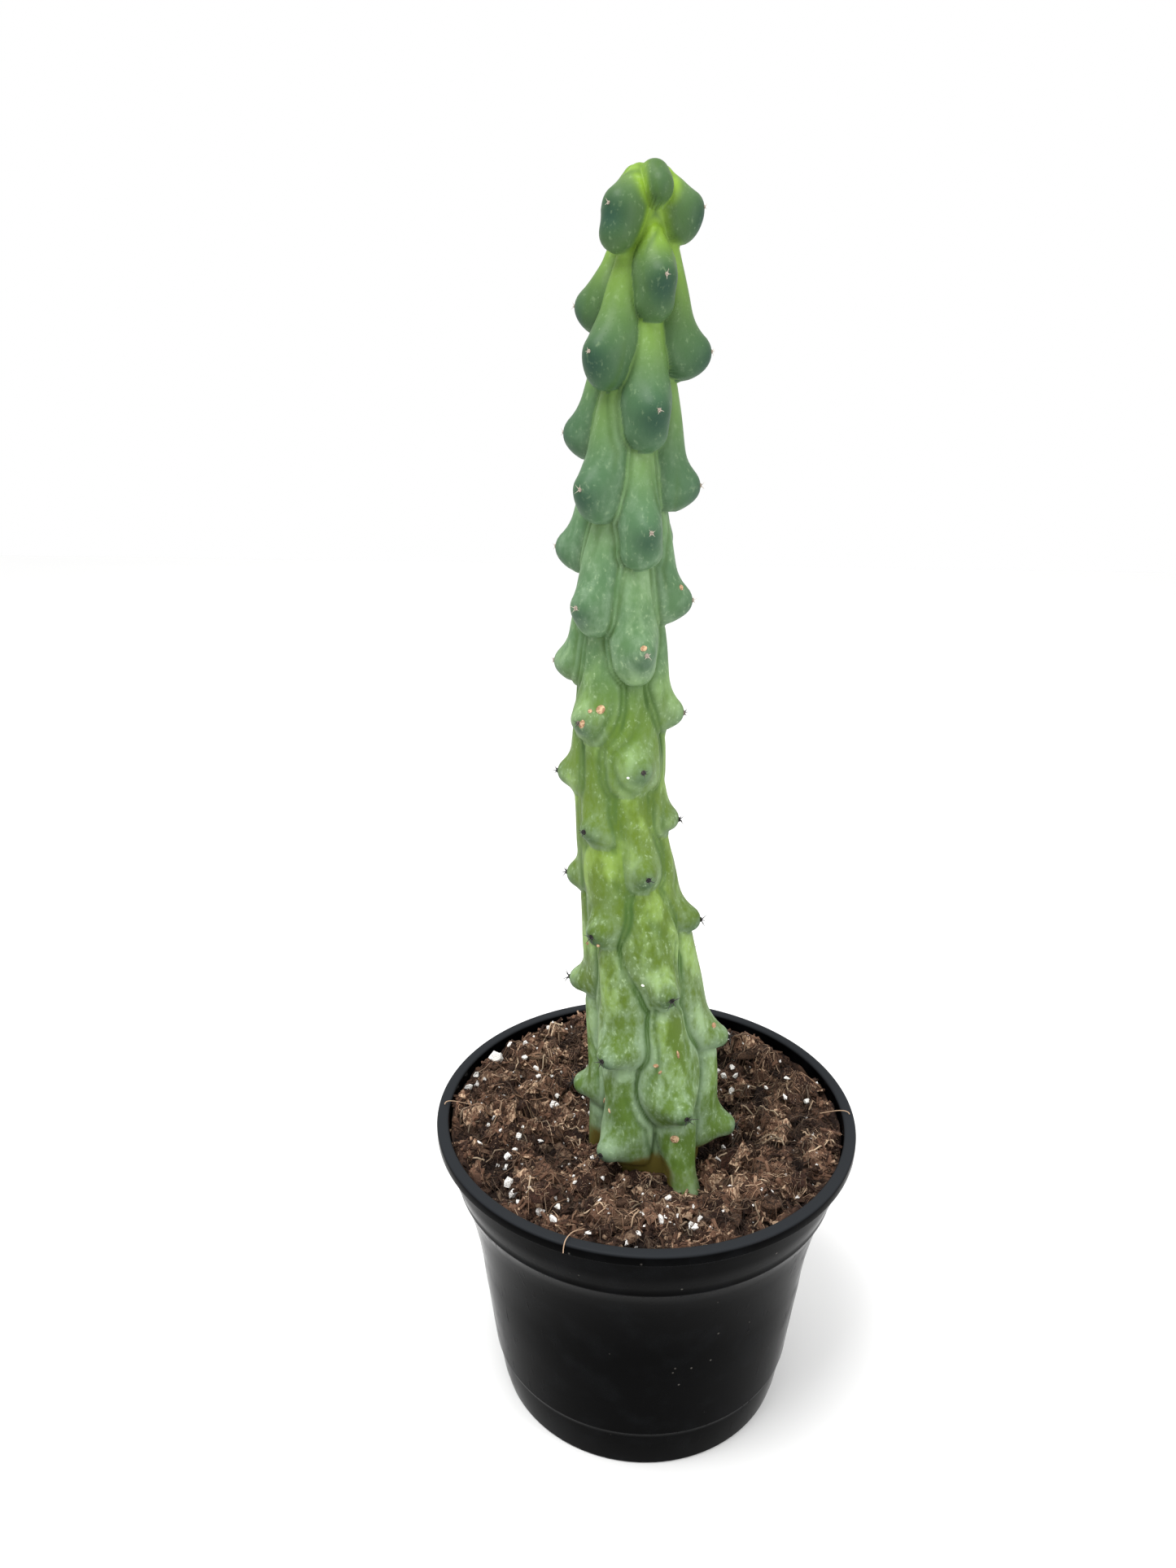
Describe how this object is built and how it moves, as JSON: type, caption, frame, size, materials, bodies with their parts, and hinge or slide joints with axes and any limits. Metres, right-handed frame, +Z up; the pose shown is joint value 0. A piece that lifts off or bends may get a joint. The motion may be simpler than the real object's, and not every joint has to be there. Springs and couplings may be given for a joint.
{
  "type": "potted boobie cactus",
  "caption": "Tall column cactus with hanging rounded knobs on its ribs, standing in soil in a round black nursery pot.",
  "frame": {"origin": "centre of the pot's foot, on the surface that it stands on", "axes": "+Z up along the pot's axis, -Y towards the side that the picture shows"},
  "size_m": [0.127, 0.127, 0.3539],
  "materials": {
    "cactus_skin": null,
    "potting_soil": null,
    "pot_plastic": "thin moulded plastic, glossy wall and satin lip"
  },
  "bodies": {
    "root": {"cactus": "cactus_skin", "soil": "potting_soil", "pot": "pot_plastic"}
  },
  "joints": []
}
